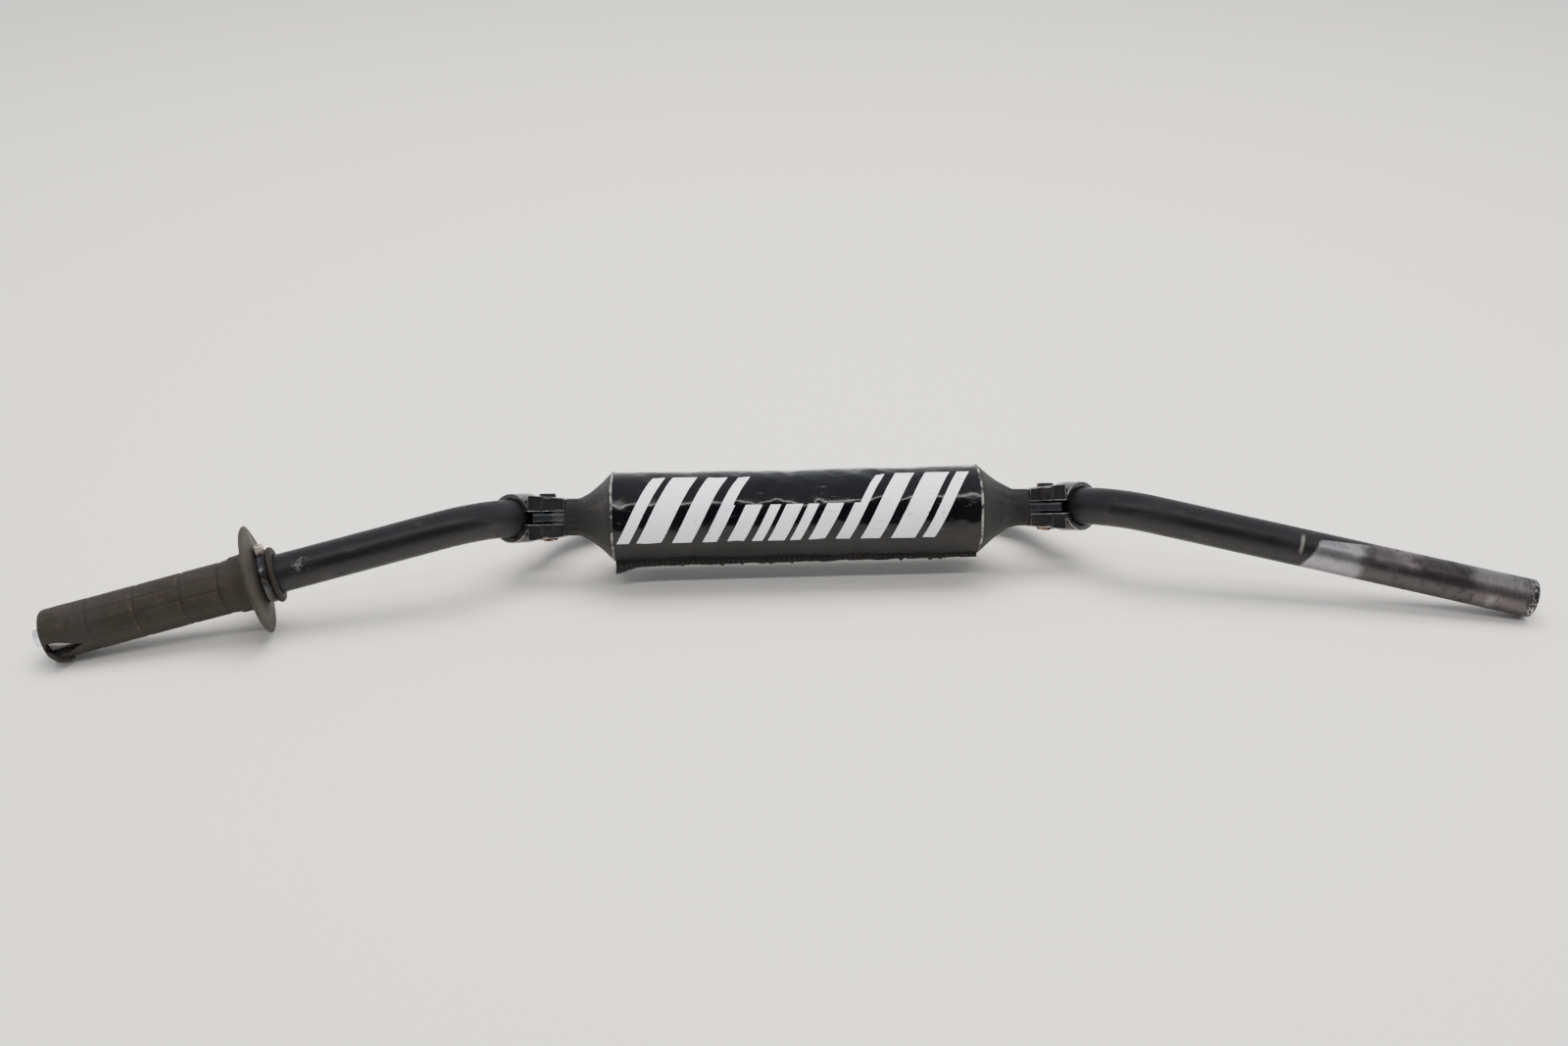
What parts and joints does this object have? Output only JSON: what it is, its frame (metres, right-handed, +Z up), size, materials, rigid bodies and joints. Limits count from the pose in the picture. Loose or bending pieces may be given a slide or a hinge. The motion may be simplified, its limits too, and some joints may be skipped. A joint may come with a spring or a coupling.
{
  "type": "motorcycle handlebar",
  "caption": "Bent steel motorcycle handlebar with a clamped padded crossbar, a flanged rubber grip held by a cable tie on the left, a bar-end anchor there and a bare right end.",
  "frame": {"origin": "middle of the underside of the bounding box, on the table that the bar lies on", "axes": "+X from the gripped left end to the bare right end, +Y towards the clamped section, away from the pad, +Z up from the table"},
  "size_m": [0.8462, 0.1426, 0.0667],
  "materials": {
    "black_paint": "satin, chipped, worn to bare steel at the right end",
    "cast_black": "glossy, edges worn bare",
    "bolt_black": "black oxide",
    "rusty_steel": "rusty",
    "foam": "open cell foam",
    "vinyl": "glossy coated cloth",
    "neoprene": "matt stretch cloth",
    "piping": "worn pale cord",
    "hook_and_loop": "fuzzy",
    "elastic": "woven elastic",
    "grip_rubber": "dusty, worn",
    "nylon": "glossy",
    "zinc": "zinc plated",
    "expander_rubber": "matt"
  },
  "bodies": {
    "bar": {"bar_tube": "black_paint", "crossbar": "black_paint", "left_crossbar_clamp": "cast_black", "right_crossbar_clamp": "cast_black", "left_clamp_bolt": "bolt_black", "right_clamp_bolt": "bolt_black", "left_clamp_nut": "rusty_steel", "right_clamp_nut": "rusty_steel", "left_grip": "grip_rubber", "grip_cable_tie": "nylon", "anchor_washer": "zinc", "anchor_expander": "expander_rubber"},
    "pad": {"pad_foam_core": "foam", "pad_cover": "vinyl", "pad_left_end_cap": "neoprene", "pad_right_end_cap": "neoprene", "pad_left_piping": "piping", "pad_right_piping": "piping", "pad_hook_strip": "hook_and_loop", "pad_loop_strip": "hook_and_loop", "pad_left_neck_elastic": "elastic", "pad_right_neck_elastic": "elastic"},
    "anchor_bolt": {"anchor_bolt": "zinc"},
    "wedge_nut": {"anchor_wedge_nut": "zinc"}
  },
  "joints": [
    {"name": "pad_turn", "type": "hinge", "parent": "bar", "child": "pad", "pos_m": [0.00329, 0.01111, 0.04029], "axis": [1, 0, -0.0041], "continuous": true},
    {"name": "anchor_bolt_spin", "type": "hinge", "parent": "bar", "child": "anchor_bolt", "pos_m": [-0.41382, -0.05705, 0.01477], "axis": [-0.9657, -0.2135, -0.148], "range_deg": [0, 720]},
    {"name": "wedge_nut_slide", "type": "slide", "parent": "bar", "child": "wedge_nut", "axis": [0.9657, 0.2135, 0.148], "range_m": [0, 0.002]}
  ],
  "couplings": [
    {"joint": "anchor_bolt_spin", "follows": "wedge_nut_slide", "rad_per_m": 6283.2}
  ]
}
